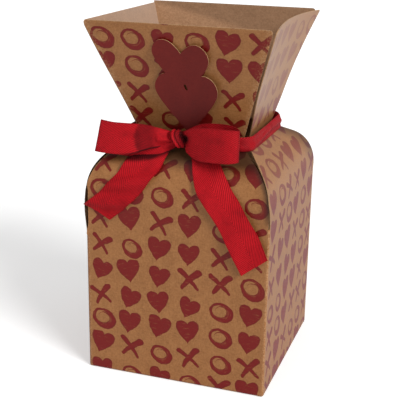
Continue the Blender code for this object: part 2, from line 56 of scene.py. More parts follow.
# camera: fitted to the outline of the card in the photo
cameraView = {
    "place": (0.18305, -0.55576, 0.29524),
    "yaw": -18.6115,    # turned to the left of +Y
    "pitch": 17.9698,    # down
    "roll": 0.9457,
    "focal": 912.158,    # pixels, in a picture this wide:
    "width": 400,
    "sensor": 36,
}
cameraData = bpy.data.cameras.new("photo_camera")
cameraData.sensor_width = cameraView["sensor"]
cameraData.lens = cameraView["sensor"] * cameraView["focal"] / cameraView["width"]
cameraData.clip_start = 0.01
cameraData.clip_end = 50
cameraObject = linked("photo_camera", cameraData)
yaw, pitch, roll = (radians(cameraView[name]) for name in ("yaw", "pitch", "roll"))
cameraObject.matrix_world = (Matrix.Translation(cameraView["place"]) @ Matrix.Rotation(-yaw, 4, "Z")
                             @ Matrix.Rotation(quarter - pitch, 4, "X") @ Matrix.Rotation(roll, 4, "Z"))
bpy.context.scene.camera = cameraObject
print("camera set")


# shader helpers: each one makes its nodes in the tree of the socket that it is given
def feed(socket, value):
    if isinstance(value, bpy.types.NodeSocket):
        socket.id_data.links.new(value, socket)
    else:
        socket.default_value = value


def addNode(tree, kind, inputs=None, **settings):
    node = tree.nodes.new("ShaderNode" + kind)
    for key, value in settings.items():
        setattr(node, key, value)
    for key, value in (inputs or {}).items():
        feed(node.inputs[key], value)
    return node


def calc(operation, *values):    # a Math node, or Vector Math where one of the values is a vector
    tree = next(value.id_data for value in values if isinstance(value, bpy.types.NodeSocket))
    isVector = any(isinstance(v, tuple) or getattr(v, "type", "VALUE") != "VALUE" for v in values)
    kind = "VectorMath" if isVector else "Math"
    return addNode(tree, kind, dict(enumerate(values)), operation=operation).outputs[0]


plus, minus, times, over, timesPlus, larger, smaller, absolute, sine = (partial(calc, name) for name in (
    "ADD", "SUBTRACT", "MULTIPLY", "DIVIDE", "MULTIPLY_ADD", "MAXIMUM", "MINIMUM", "ABSOLUTE", "SINE"))


def ease(value, low, high, start=0.0, end=1.0):    # the value from low to high, eased to start to end
    inputs = {0: value, 1: low, 2: high, 3: start, 4: end}
    return addNode(value.id_data, "MapRange", inputs, interpolation_type="SMOOTHSTEP").outputs[0]


def blend(share, first, second):
    return addNode(share.id_data, "Mix", {0: share, 2: first, 3: second}).outputs[0]


def blendColour(share, first, second):
    return addNode(share.id_data, "Mix", {0: share, 6: first, 7: second}, data_type="RGBA").outputs[2]


# fractal noise about 1 / scale metres in size
def grain(place, scale, detail=2.0, stretch=None, rough=0.55, output="Fac"):
    if stretch:
        place = times(place, stretch)
    inputs = {"Vector": place, "Scale": scale, "Detail": detail, "Roughness": rough}
    return addNode(place.id_data, "TexNoise", inputs).outputs[output]


def attribute(tree, name, output="Fac"):
    return addNode(tree, "Attribute", attribute_name=name).outputs[output]


socketKinds = {"Place": "Vector", "Plan": "Vector", "Weave": "Vector", "Colour": "Color", "Deep": "Color"}


def newGroup(name, takes, gives):
    tree = bpy.data.node_groups.new(name, "ShaderNodeTree")
    for direction, labels in (("INPUT", takes), ("OUTPUT", gives)):
        for label in labels:
            kind = "NodeSocket" + socketKinds.get(label, "Float")
            tree.interface.new_socket(label, in_out=direction, socket_type=kind)
    return tree, tree.nodes.new("NodeGroupInput").outputs, tree.nodes.new("NodeGroupOutput").inputs


def rgb(*values):    # an 8-bit colour as a linear one
    def linear(share):
        return share / 12.92 if share <= 0.04045 else ((share + 0.055) / 1.055) ** 2.4
    return (*(linear(value / 255) for value in values), 1.0)


# kraft card: pulp mottling, long fibres, flecks and a rubbed look where it is folded
kraft = {
    # grains to the metre, and their share of the tone
    "cloud": (130, 0.2), "mottle": (700, 0.35), "fibre": (2600, 0.5),
    "speck": 1500, "rub": 900,
    "slim": 0.14,    # a fibre is drawn out to 1 / slim
    "dark": rgb(130, 83, 44), "light": rgb(166, 114, 68),
    # deep is the colour of painted shade; sheen is a painted sheen, blended in where the card is seen edge
    # on, over the facing range of glance
    "rubbed": rgb(186, 146, 106), "fleck": rgb(86, 54, 32), "deep": rgb(40, 22, 14),
    "sheen": rgb(184, 147, 118), "glance": (0.4, 0.85),    # seen edge on, and from which facing
    "ink": rgb(110, 12, 10), "pooled": rgb(92, 6, 6), "thin": rgb(130, 34, 26),
}


def kraftGroup():
    tree, given, made = newGroup("kraft pulp", ("Place", "Wear"), ("Tone", "Fleck", "Height", "Rubbed"))
    place, slim = given["Place"], kraft["slim"]
    clouds, mottles, threads = kraft["cloud"], kraft["mottle"], kraft["fibre"]
    mottle = grain(place, mottles[0], 4)
    upright = grain(place, threads[0], 2, (1, 1, slim))
    fibres = larger(upright, grain(place, threads[0], 2, (slim, slim, 1)))
    tone = plus(times(grain(place, clouds[0]), clouds[1]), times(mottle, mottles[1]))
    feed(made["Tone"], ease(plus(tone, times(fibres, threads[1])), 0.34, 0.78))
    feed(made["Fleck"], ease(grain(place, kraft["speck"], 1), 0.66, 0.74))
    feed(made["Height"], plus(times(fibres, 0.7), times(mottle, 0.5)))
    feed(made["Rubbed"], times(given["Wear"], ease(grain(place, kraft["rub"], 3), 0.42, 0.62)))
    return tree


# generic brushed print: hearts, crosses and rings, one in each cell of the flat card
printLook = {
    "pitch": (0.020, 0.0178),
    "start": 8.5 * mm,    # the lowest row is cut by the foot, the top row stays clear of the rim
    "jitter": 1.1 * mm, "wobble": 1.5 * mm, "waves": 260, "turn": 0.28, "seed": (7.3, 3.1, 0),
    "unit": 7.8 * mm,    # half a mark's size, and the lengths below are shares of it
    "size": (0.16, 0.92),
    "ring": 0.78,
    "crosses": 0.37, "rings": 0.67,    # the draw from which a mark is a cross, and a ring
    "edge": 0.03, "pool": (-0.16, -0.03),
}


def printGroup():
    tree, given, made = newGroup("brushed print", ("Plan",), ("Ink", "Pool"))
    look = printLook
    wide, high = look["pitch"]
    half = (0.5, 0.5, 0.5)
    plan = plus(given["Plan"], (0, look["start"], 0))
    wobble = grain(plan, look["waves"], 3, rough=0.5, output="Color")
    wobble = times(minus(wobble, half), (look["wobble"], look["wobble"], 0))
    cell = calc("FLOOR", over(plan, (wide, high, 1)))
    seeded = plus(cell, look["seed"])
    chance = addNode(tree, "TexWhiteNoise", {"Vector": seeded}, noise_dimensions="2D").outputs
    spread = addNode(tree, "SeparateColor", {0: chance["Color"]}).outputs
    middle = times(plus(cell, (0.5, 0.5, 0)), (wide, high, 0))
    shift = times(minus(chance["Color"], half), (2 * look["jitter"], 2 * look["jitter"], 0))
    local = minus(plus(plan, wobble), plus(middle, shift))
    turned = {"Vector": local, "Angle": times(minus(spread["Blue"], 0.5), 2 * look["turn"])}
    local = addNode(tree, "VectorRotate", turned, rotation_type="Z_AXIS").outputs[0]
    scale = over(1 / look["unit"], timesPlus(spread["Green"], *look["size"]))
    local = addNode(tree, "VectorMath", {"Vector": local, "Scale": scale}, operation="SCALE").outputs[0]
    parts = addNode(tree, "SeparateXYZ", {0: local}).outputs
    x, y = parts["X"], parts["Y"]

    def length(first, second):
        return calc("SQRT", plus(times(first, first), times(second, second)))

    # heart: a circle sheared upwards beside its middle line, one lobe fuller than the other
    side = minus(x, times(y, 0.10))
    raised = times(calc("POWER", absolute(side), 0.62), 0.80)
    raised = minus(raised, times(side, 0.08))
    heart = minus(length(side, minus(timesPlus(y, 1.16, 0.20), raised)), 0.97)

    # cross: two strokes, each fatter at one end
    def stroke(along, off, long, wide, taper, bend):
        off = minus(off, times(times(along, along), bend))
        past = larger(minus(absolute(along), long), 0.0)
        return minus(length(past, off), timesPlus(along, taper, wide))

    slant = sqrt(0.5)
    rising, falling = times(plus(x, y), slant), times(minus(x, y), slant)
    cross = smaller(stroke(rising, falling, 0.90, 0.225, 0.07, 0.08),
                    stroke(falling, rising, 0.98, 0.17, -0.05, -0.06))

    # ring: heaviest at the lower right, its stroke runs on inwards
    turn = calc("ARCTAN2", x, times(y, -1))
    radius = length(x, timesPlus(x, 0.16, times(y, 1.14)))
    heavy = timesPlus(calc("COSINE", minus(turn, 0.7)), 0.10, 0.21)
    ring = minus(absolute(minus(radius, look["ring"])), heavy)
    onwards = calc("WRAP", turn, 2 * pi, 0.0)
    arm = absolute(minus(radius, timesPlus(onwards, -0.10, 0.84)))
    ring = smaller(ring, minus(arm, timesPlus(onwards, -0.034, 0.15)))

    isRing = calc("GREATER_THAN", chance["Value"], look["rings"])
    shape = blend(calc("GREATER_THAN", chance["Value"], look["crosses"]), heart, cross)
    shape = blend(isRing, shape, ring)
    ink = ease(shape, -look["edge"], look["edge"], 1.0, 0.0)

    # brush marks: streaks along the stroke, the inside of a ring drier, and worn spots in the ink
    around = addNode(tree, "CombineXYZ", {0: times(radius, 9.0), 1: turn}).outputs[0]
    straight = times(local, (1.2, 6.0, 1.0))
    brush = addNode(tree, "Mix", {0: isRing, 4: straight, 5: around}, data_type="VECTOR").outputs[1]
    streak = grain(plus(brush, times(cell, (3, 3, 0))), 1.3, 3, rough=0.5)
    dry = times(isRing, ease(minus(look["ring"], radius), -0.05, 0.2, 0.0, 0.12))
    thin = ease(plus(streak, dry), 0.56, 0.76, 0.0, 0.34)
    worn = ease(grain(plan, 1800), 0.62, 0.78, 0.0, 0.3)
    feed(made["Ink"], times(ink, minus(1.0, larger(thin, worn))))
    feed(made["Pool"], ease(shape, *look["pool"]))
    return tree


# herringbone twill, from the ribbon's own lengths across and along
twill = {
    "zone": 10.5 * mm,    # half the ribbon: the ribs meet along its middle
    "pitch": 2.0 * mm, "slope": 1.66, "drift": 0.5,
    "yarn": 0.42 * mm, "pick": 0.5 * mm, "cloth": 0.18,
    "selvedge": (0.35 * mm, 0.9 * mm),
    "low": rgb(126, 8, 15), "high": rgb(196, 22, 33), "slub": rgb(204, 26, 38),
    # deep is the colour of painted shade in folds, hollows and under the loops
    "side": rgb(130, 8, 16), "deep": rgb(24, 2, 5),
}


def twillGroup():
    tree, given, made = newGroup("herringbone twill", ("Weave",), ("Rib", "Slub", "Height", "Selvedge"))
    weave = given["Weave"]
    parts = addNode(tree, "SeparateXYZ", {0: weave}).outputs
    across, along = parts["X"], parts["Y"]
    zigzag = calc("PINGPONG", across, twill["zone"])
    line = over(timesPlus(zigzag, twill["slope"], along), twill["pitch"])
    line = plus(line, times(grain(weave, 300), twill["drift"]))
    rib = timesPlus(sine(times(line, 2 * pi)), 0.5, 0.5)
    cloth = times(sine(times(across, 2 * pi / twill["yarn"])), sine(times(along, 2 * pi / twill["pick"])))
    feed(made["Rib"], rib)
    feed(made["Height"], plus(rib, times(cloth, twill["cloth"])))
    feed(made["Slub"], grain(weave, 1500, 3, (1, 0.25, 1)))
    feed(made["Selvedge"], ease(minus(twill["zone"], absolute(across)), *twill["selvedge"], 1.0, 0.0))
    return tree


# painted shade: darkens what lies deep in a fold or against its neighbour, or under another part
def shadeGroup():
    tree, given, made = newGroup("fold shade", ("Colour", "Deep", "Shade"), ("Colour",))
    feed(made["Colour"], blendColour(times(given["Shade"], 0.9), given["Colour"], given["Deep"]))
    return tree


kraftPulp, brushedPrint, herringbone, foldShade = kraftGroup(), printGroup(), twillGroup(), shadeGroup()


def newMaterial(name, **constants):
    material = bpy.data.materials.new(name)
    material.use_nodes = True
    sockets = material.node_tree.nodes["Principled BSDF"].inputs
    for key, value in constants.items():
        sockets[key.replace("_", " ")].default_value = value
    return material, material.node_tree, sockets


def placed(tree, group, **inputs):
    return addNode(tree, "Group", inputs, node_tree=group).outputs


def bumped(sockets, height, distance, strength=0.6):
    inputs = {"Height": height, "Distance": distance, "Strength": strength}
    feed(sockets["Normal"], addNode(height.id_data, "Bump", inputs).outputs[0])


def shaded(colour, deep):
    tree = colour.id_data
    return placed(tree, foldShade, Colour=colour, Deep=deep, Shade=attribute(tree, "shade"))["Colour"]


# painted sheen: the colour turns pale where the card is seen edge on
def glancing(colour, sheen):    # card seen edge on, where its glance attribute allows it
    tree = colour.id_data
    facing = addNode(tree, "LayerWeight", {"Blend": 0.5}).outputs["Facing"]
    return blendColour(times(attribute(tree, "glance"), ease(facing, *kraft["glance"])), colour, sheen)


def kraftBase(tree, sockets, dark, light):    # gives the pulp's colour and its group's outputs
    place = addNode(tree, "TexCoord").outputs["Object"]
    pulp = placed(tree, kraftPulp, Place=place, Wear=attribute(tree, "wear"))
    colour = blendColour(pulp["Tone"], dark, light)
    colour = blendColour(times(pulp["Fleck"], 0.35), colour, kraft["fleck"])
    feed(sockets["Roughness"], timesPlus(pulp["Tone"], 0.10, 0.34))
    return blendColour(pulp["Rubbed"], colour, kraft["rubbed"]), pulp


def printedKraft():
    material, tree, sockets = newMaterial("printed kraft card", Specular_IOR_Level=0.27)
    colour, pulp = kraftBase(tree, sockets, kraft["dark"], kraft["light"])
    marks = placed(tree, brushedPrint, Plan=attribute(tree, "plan", "Vector"))
    ink = blendColour(times(marks["Pool"], 0.6), kraft["ink"], kraft["pooled"])
    ink = blendColour(times(pulp["Tone"], 0.2), ink, kraft["thin"])
    colour = blendColour(times(marks["Ink"], minus(1.0, pulp["Rubbed"])), colour, ink)
    feed(sockets["Base Color"], glancing(shaded(colour, kraft["deep"]), kraft["sheen"]))
    bumped(sockets, pulp["Height"], 0.05 * mm)
    return material


bareKraft = {
    # sheen: painted sheen on the plain inside, where the card is seen edge on
    "plain kraft card": {"dark": rgb(151, 112, 80), "light": rgb(187, 145, 110), "grain": 0.06 * mm,
                         "sheen": rgb(188, 178, 172)},
    "cut kraft edge": {"dark": rgb(150, 112, 76), "light": rgb(188, 150, 112), "grain": 0.08 * mm},
}


def unprintedKraft(name):
    look = bareKraft[name]
    material, tree, sockets = newMaterial(name, Specular_IOR_Level=0.2)
    colour, pulp = kraftBase(tree, sockets, look["dark"], look["light"])
    colour = shaded(colour, kraft["deep"])
    feed(sockets["Base Color"], glancing(colour, look["sheen"]) if "sheen" in look else colour)
    bumped(sockets, pulp["Height"], look["grain"])
    return material


tagColours = {
    "dark": rgb(94, 20, 17), "light": rgb(110, 31, 26),
    # deep is the colour of painted shade towards the bow
    "fleck": rgb(80, 18, 20), "deep": rgb(40, 4, 6),
}


def tagRed():
    material, tree, sockets = newMaterial("dark red tag card", Specular_IOR_Level=0.2)
    pulp = placed(tree, kraftPulp, Place=addNode(tree, "TexCoord").outputs["Object"])
    colour = blendColour(pulp["Tone"], tagColours["dark"], tagColours["light"])
    colour = blendColour(times(pulp["Fleck"], 0.3), colour, tagColours["fleck"])
    feed(sockets["Base Color"], shaded(colour, tagColours["deep"]))
    feed(sockets["Roughness"], timesPlus(pulp["Tone"], 0.15, 0.5))
    bumped(sockets, pulp["Height"], 0.05 * mm)
    return material


def redTwill():
    material, tree, sockets = newMaterial("red herringbone twill", Specular_IOR_Level=0.09,
                                          Sheen_Weight=0.02, Sheen_Roughness=0.4)
    cloth = placed(tree, herringbone, Weave=attribute(tree, "weave", "Vector"))
    colour = blendColour(cloth["Rib"], twill["low"], twill["high"])
    colour = blendColour(ease(cloth["Slub"], 0.35, 0.75, 0.0, 0.35), colour, twill["slub"])
    colour = blendColour(times(cloth["Selvedge"], 0.4), colour, twill["side"])
    feed(sockets["Base Color"], shaded(colour, twill["deep"]))
    feed(sockets["Roughness"], timesPlus(cloth["Rib"], -0.12, 0.68))
    bumped(sockets, cloth["Height"], 0.12 * mm, 0.8)
    return material


plain, cutEdge = (unprintedKraft(name) for name in bareKraft)
printed, tagFace, twillRed = printedKraft(), tagRed(), redTwill()
print("materials made")


# mesh helpers
def smooth(share):
    share = min(max(share, 0.0), 1.0)
    return share * share * (3 - 2 * share)


def near(distance, reach):    # 1 at no distance, eased to 0 at reach
    return smooth(1 - distance / reach)


# a mesh object from spots, each of them a point and its values of the point attributes in labels
def newPiece(name, spots, faces, materials, labels=()):
    mesh = bpy.data.meshes.new(name)
    points, *layers = zip(*spots)
    mesh.from_pydata([tuple(point) for point in points], [], faces)
    for label, values in zip(labels, layers):
        if isinstance(values[0], tuple):
            layer = mesh.attributes.new(label, "FLOAT_VECTOR", "POINT")
            layer.data.foreach_set("vector", [part for value in values for part in (*value, 0.0)])
        else:
            mesh.attributes.new(label, "FLOAT", "POINT").data.foreach_set("value", values)
    for material in materials:
        mesh.materials.append(material)
    return linked(name, mesh)


def applied(piece, sharp):    # its modifiers, then smooth shading but for the cut edges
    graph = bpy.context.evaluated_depsgraph_get()
    old, mesh = piece.data, bpy.data.meshes.new_from_object(piece.evaluated_get(graph), depsgraph=graph)
    piece.modifiers.clear()
    piece.data = mesh
    bpy.data.meshes.remove(old)
    mesh.name = piece.name
    mesh.shade_smooth()
    mesh.set_sharp_from_angle(angle=radians(sharp))


def thicken(piece, thickness, offset, inner=0, rim=0, sharp=40):
    step = piece.modifiers.new("thickness", "SOLIDIFY")
    step.thickness, step.offset, step.use_even_offset = thickness, offset, True
    step.material_offset, step.material_offset_rim = inner, rim
    applied(piece, sharp)


def gridFaces(first, rows, columns):    # of a grid of points, numbered row by row from first
    corners = [first + row * (columns + 1) + column for row in range(rows) for column in range(columns)]
    return [(corner, corner + 1, corner + columns + 2, corner + columns + 1) for corner in corners]


# card body: four walls and bent shoulders, folded from one blank with a glued seam at the rear left
card = {
    "half": 60 * mm, "wall": 121.5 * mm, "thick": 0.5 * mm,
    "hidden": 0.8 * mm,    # a covered edge stops this far inside the corner
    "bendRadius": 33.5 * mm, "bendTurn": radians(52.5),
    "flat": 14 * mm,    # from the bend to the neck crease
    "foldRadius": 1.5 * mm,
    "tuck": 0.6 * mm,    # folded under at the base
    "sag": 0.3 * mm,    # inward, in the middle of each wall
    "slit": 0.4 * mm, "slitGrowth": 2 * mm,
    "lipSlit": 1.5 * mm, "lipSharp": 2.4,
    "lipLift": 1.4 * mm,    # the left wall's front edge springs out
    "lipReach": 14 * mm,
    "lipSpan": (29.5 * mm, 9.5 * mm),    # below and above the shoulder's foot
    "rimLift": 0.68 * mm,    # and stands proud of the front along the shoulder
    "rimSpan": (4 * mm, 42 * mm),
    "proud": 1.4 * mm, "proudSpan": (9.5 * mm, 16.5 * mm),    # so does the right wall's front edge
    "rearLift": 1.6 * mm,    # the right shoulder bulges towards the rear
    "rearShort": 0.8 * mm, "rearSpan": (6 * mm, 50 * mm),
    # painted shade: in the left wall's slot, under the bow, beside the right wall's proud edge and towards
    # the right shoulder's rear; pale is painted sheen on that shoulder
    "lipShade": {"from": 0.8, "fade": 0.125, "lift": 0.4 * mm},
    "bowShade": {"depth": 0.92, "from": 27 * mm, "to": 15 * mm, "reach": 56 * mm, "fade": 8 * mm},
    "proudShade": {"depth": 0.9, "reach": 5 * mm, "fade": 12 * mm},
    "rearShade": {"pale": 0.3, "depth": 0.7, "reach": 24 * mm, "fade": 16 * mm},
    # for each side, the cuts at its left and right edge below the neck: depth and reach in mm
    "relief": (((3, 19), (0, 19)), ((5, 19), (6.5, 22)), ((6.5, 22), (6.5, 22)), ((6.5, 22), (5, 19))),
    "wear": ((0.45, 1.2 * mm), (0.3, 1.5 * mm)),    # at the side edges and the crease, and its reach
    "foldWear": 0.5,
    "columns": 18,
}
bendLength = card["bendRadius"] * card["bendTurn"]
panelLength = card["wall"] + bendLength + card["flat"]


# (inset, height, slope) of the card's outer face, for a length up the card
def panelProfile(up):
    if up <= card["wall"]:
        return 0.0, up, 0.0
    radius, along = card["bendRadius"], up - card["wall"]
    turn = min(along / radius, card["bendTurn"])
    straight = max(along - bendLength, 0.0)
    inset = radius * (1 - cos(turn)) + straight * sin(turn)
    return inset, card["wall"] + radius * sin(turn) + straight * cos(turn), turn


neckInset, neckHeight, _ = panelProfile(panelLength)
neckHalf = card["half"] - neckInset

# length up the card at which the cut between each side and the next one on its right starts
cutStarts = (card["wall"] - card["proudSpan"][0], card["wall"], -1.0, card["wall"] - card["lipSpan"][0])


def bump(above, span):
    below, top = span
    return smooth(1 - abs(above - (top - below) / 2) / ((top + below) / 2))


def reliefDepth(relief, fromNeck):
    depth, reach = relief
    return depth * mm * near(fromNeck, reach * mm)


def leftEdge(number, up):
    side, above, start = sideNames[number], up - card["wall"], cutStarts[number - 1]
    folded = card["half"] - card["foldRadius"]
    free = card["half"] - panelProfile(up)[0] - card["slit"] * smooth(above / bendLength)
    free -= card["lipSlit"] * smooth(card["lipSharp"] * bump(above, card["lipSpan"]))
    free += card["proud"] * bump(above, card["proudSpan"]) if side == "right" else 0.0
    free -= card["rimLift"] * bump(above, card["rimSpan"]) if side == "front" else 0.0
    free -= reliefDepth(card["relief"][number][0], panelLength - up)
    share = smooth((up - start) / card["slitGrowth"]) if start >= 0 else 1.0
    return folded + (free - folded) * share


def rightEdge(number, up):
    side, above = sideNames[number], up - card["wall"]
    inset, _, slope = panelProfile(up)
    free = card["half"] - inset - card["hidden"] / cos(slope) - card["slit"] * smooth(above / bendLength)
    free -= card["rearShort"] * bump(above, card["rearSpan"]) if side == "right" else 0.0
    return free - reliefDepth(card["relief"][number][1], panelLength - up)


def tuck(up):
    return max(card["tuck"] - up, 0.0) ** 2 / card["tuck"]


# how rubbed the card is, by its distances from a side edge and from a crease
def rubbed(look, edge, crease):
    (edgeWear, edgeReach), (creaseWear, creaseReach) = look["wear"]
    return edgeWear * near(edge, edgeReach) + creaseWear * near(crease, creaseReach)


# how far a spot of a side lifts, its painted shade, and its painted sheen (pale) when seen edge on
def sideForm(side, up, x, right):
    above, edge = up - card["wall"], right - x
    lift = dark = pale = 0.0
    if side == "left":
        close = max(1 - edge / card["lipReach"], 0.0) ** 2
        lift = card["lipLift"] * bump(above, card["lipSpan"])
        lift = max(lift, card["rimLift"] * bump(above, card["rimSpan"])) * close
        look = card["lipShade"]
        dark = smooth((close - look["from"]) / look["fade"]) * smooth(lift / look["lift"])
    if side == "front":
        look = card["bowShade"]
        dark = smooth((look["from"] - (panelLength - up)) / (look["from"] - look["to"]))
        dark *= look["depth"] * smooth((look["reach"] - abs(x)) / look["fade"])
        look = card["proudShade"]
        dark = max(dark, look["depth"] * near(edge, look["reach"]) * smooth(above / look["fade"] + 1))
    if side == "right":    # its shoulder: pale, dark towards the rear
        # painted sheen over the right shoulder, painted shade towards its rear
        look = card["rearShade"]
        shoulder, rear = smooth(above / look["fade"]), near(edge, look["reach"])
        pale = look["pale"] * shoulder * (1 - rear)
        dark = look["depth"] * shoulder * rear
        lift = card["rearLift"] * bump(above, card["rearSpan"]) * near(edge, 2 * look["reach"])
    return lift, dark, pale


def cardPiece(name, spots, faces):    # printed outside, plain inside
    piece = newPiece(name, spots, faces, [printed, plain, cutEdge], ("plan", "wear", "shade", "glance"))
    thicken(piece, card["thick"], -1, 1, 2)
    return piece


def cardBody():
    half, wall, radius, columns = card["half"], card["wall"], card["foldRadius"], card["columns"]
    rows = [0.0, 0.2 * mm, 0.6 * mm, 2 * mm] + [step * 10 * mm for step in range(1, 10)]
    rows += [start + extra * mm for start in cutStarts if start > 0 for extra in (0, 0.7, 1.4, 2.2)]
    rows += [wall - step * 2.5 * mm for step in range(1, 12)]
    rows += [wall + bendLength * step / 26 for step in range(1, 27)]
    rows += [panelLength - card["flat"] * step / 9 for step in range(9)]
    rows = sorted(set(round(row, 6) for row in rows))
    spots, faces, first = [], [], []
    for number, side in enumerate(sideNames):
        first.append(len(spots))
        for up in rows:
            left, right = leftEdge(number, up), rightEdge(number, up)
            inset, height, slope = panelProfile(up)
            for column in range(columns + 1):
                share = sin((column / columns * 2 - 1) * quarter)
                x = (right - left) / 2 + share * (right + left) / 2
                lift, dark, pale = sideForm(side, up, x, right)
                sag = card["sag"] * cos(min(abs(x) / half, 1) * quarter) * sin(min(up / wall, 1) * pi)
                out = half - inset - tuck(up) + lift * cos(slope) - sag
                point = sideTurns[number] @ Vector((x, -out, height + lift * sin(slope)))
                wear = rubbed(card, min(left + x, right - x), panelLength - up)
                spots.append((point, ((number * 2 + 1) * half + x, up), wear, dark, pale))
        faces += gridFaces(first[-1], len(rows) - 1, columns)
    for number in range(4):    # the folded corners, up to where each cut starts
        strips = []
        for row, up in enumerate(rows):
            if up > cutStarts[number] + 1e-7:
                break
            line = [first[number] + row * (columns + 1) + columns]
            for step in (1, 2, 3):
                angle = quarter * step / 4
                reach = max(radius - tuck(up), 0.05 * mm)
                centre = half - radius
                point = Vector((centre + reach * sin(angle), -centre - reach * cos(angle), up))
                flat = ((number + 1) * 2 * half + (step / 2 - 1) * radius, up)
                line.append(len(spots))
                spots.append((sideTurns[number] @ point, flat, card["foldWear"], 0.0, 0.0))
            line.append(first[(number + 1) % 4] + row * (columns + 1))
            strips.append(line)
        for low, high in zip(strips, strips[1:]):
            faces += [(low[step], low[step + 1], high[step + 1], high[step]) for step in range(4)]
    piece = cardPiece("card_body", spots, faces)
    for vertex in piece.data.vertices:
        vertex.co.z = max(vertex.co.z, 0.0)
    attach(piece, "root")
    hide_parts("front_panel", "right_panel", "back_panel", "left_panel")


cardBody()

# petals: flared above the neck crease, with rounded rim corners
petals = {
    "length": 76 * mm, "lean": radians(17.9), "columns": 20,
    # for each side, degrees of lean more, mm of length more and mm inward between its edges
    "spread": (0, 0, 0, 1.2), "extra": (0, 0, 0.8, 0), "bow": (0.3, 4.5, 0.3, 0.4),
    # for each side's left and right edge in mm: its rim corner, how far it is cut in at the rim and
    # all along, and its relief cut at the neck
    "corner": ((3, 2.8), (4, 1.6), (2.5, 0.8), (0.8, 4)),
    "splay": ((-1.8, 0.9), (1.2, 0), (3, -1.7), (0, 0)),
    "slit": ((0.9, 0.9), (0.9, 1.2), (0.05, 0.05), (0.4, 0.9)),
    "relief": (((3.7, 76), (0, 19)), ((9, 36), (5, 19)), ((5.4, 18), (5.4, 18)), ((5, 19), (6, 76))),
    "sag": 2.0 * mm,    # the right petal's rear edge, inward at half its length
    "waist": 2.6 * mm,    # the back petal's right edge is cut in at half its length
    # painted shadow of the right petal on the back petal's inside, towards its rim and its right; glance is
    # painted sheen where a petal is seen edge on
    "backShadow": 0.34, "backShadowSlope": 0.076 / mm, "backShadowEdge": 0.3,    # the back petal, towards its rim and its right
    "glance": (0, 0.42, 0, 0.6), "glanceReach": 44 * mm,    # pale when seen edge on
    "wear": ((0.5, 0.9 * mm), (0.3, 1.5 * mm)),
}


def petalEdge(number, edge, along):
    long, corner = petals["length"], petals["corner"][number][edge] * mm
    past = max(along - (long + petals["extra"][number] * mm - corner), 0.0)
    cut = corner - sqrt(max(corner ** 2 - past ** 2, 0.0)) + petals["slit"][number][edge] * mm
    cut += petals["splay"][number][edge] * mm * along / long
    cut += reliefDepth(petals["relief"][number][edge], along)
    if sideNames[number] == "back" and edge == 0:
        cut += petals["waist"] * sin(pi * along / long)
    return neckHalf + along * sin(petals["lean"]) - cut


def petal(number):
    side, long, columns = sideNames[number], petals["length"], petals["columns"]
    rounded = max(petals["corner"][number]) * mm
    straight = long + petals["extra"][number] * mm - rounded
    rows = [straight * step / 30 for step in range(31)]
    rows += [straight + rounded * sin(quarter * step / 9) for step in range(1, 10)]
    lean = petals["lean"] + radians(petals["spread"][number])
    spots = []
    for along in rows:
        left, right = petalEdge(number, 0, along), petalEdge(number, 1, along)
        for column in range(columns + 1):
            across = column / columns * 2 - 1
            x = (right - left) / 2 + across * (right + left) / 2
            sink = petals["bow"][number] * mm * along / long * (1 - across * across)
            if side == "right":
                sink += petals["sag"] * sin(pi * along / long) * smooth(0.5 + across / 2)
            out = neckHalf + along * sin(lean) - sink * cos(lean)
            up = neckHeight + along * cos(lean) + sink * sin(lean)
            flat = ((number * 2 + 1) * card["half"] + x, panelLength + along)
            wear = rubbed(petals, min(left + x, right - x, long - along), along)
            below = 1 - petals["backShadowSlope"] * (long - along) - across
            dark = petals["backShadow"] * smooth(below / petals["backShadowEdge"] + 0.5) if side == "back" else 0.0
            pale = petals["glance"][number] * (0.2 + 0.8 * smooth(along / petals["glanceReach"]))
            spots.append((sideTurns[number] @ Vector((x, -out, up)), flat, wear, dark, pale))
    piece = cardPiece(side + "_petal_card", spots, gridFaces(0, len(rows) - 1, columns))
    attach(piece, side + "_petal")
    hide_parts(side + "_petal")


for number in range(4):
    petal(number)
for name in ("glue_flap", "base_rear_flap", "base_right_flap", "base_left_flap", "base_front_flap"):
    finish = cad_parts[name].data.materials
    finish.clear()
    finish.append(plain)
print("card folded")

# tag: two hearts cut in one piece of card, printed on its front
tag = {
    "thick": 0.6 * mm, "sharp": 35,
    "curl": 1.4 * mm, "curlReach": 20 * mm, "curlStep": 2.5 * mm,    # its sides lift off the petal
    # painted shade cast by the bow: the tag is darker towards its foot
    "paintedShade": 0.5, "paintedShadeReach": 26 * mm,    # darker towards the bow
    "tipUp": 6, "tipOff": 3.3, "topOff": 0.7,    # mm up the petal and off it
    "lower": {"wide": 40, "high": 39.8, "tilt": -1.5, "shift": 2.2, "up": 0, "skew": 0},
    "upper": {"wide": 35.5, "high": 34, "tilt": -7, "shift": -3.2, "up": 26.2, "skew": 4.0},
    "slot": {"long": 3.9, "wide": 1.5, "shift": 2.4, "up": 31.2, "tilt": 20, "points": 20},
    "half": [(0, 0), (0.105, 0.13), (0.215, 0.27), (0.33, 0.42), (0.435, 0.58), (0.495, 0.73),
             (0.475, 0.86), (0.40, 0.96), (0.29, 1.0), (0.18, 0.97), (0.08, 0.89), (0, 0.79)],
    "halfPoints": 44,
}


def splinePoints(points, count):    # along a smooth curve through the given ones
    points = [Vector(point) for point in points]
    ends = [points[0] * 2 - points[1]] + points + [points[-1] * 2 - points[-2]]
    spans = len(points) - 1
    made = []
    for step in range(count + 1):
        place = min(step / count * spans, spans - 1e-9)
        span = int(place)
        t = place - span
        a, b, c, d = ends[span:span + 4]
        made.append(0.5 * (2 * b + (c - a) * t + (2 * a - 5 * b + 4 * c - d) * t * t
                           + (3 * b - a - 3 * c + d) * t * t * t))
    return made


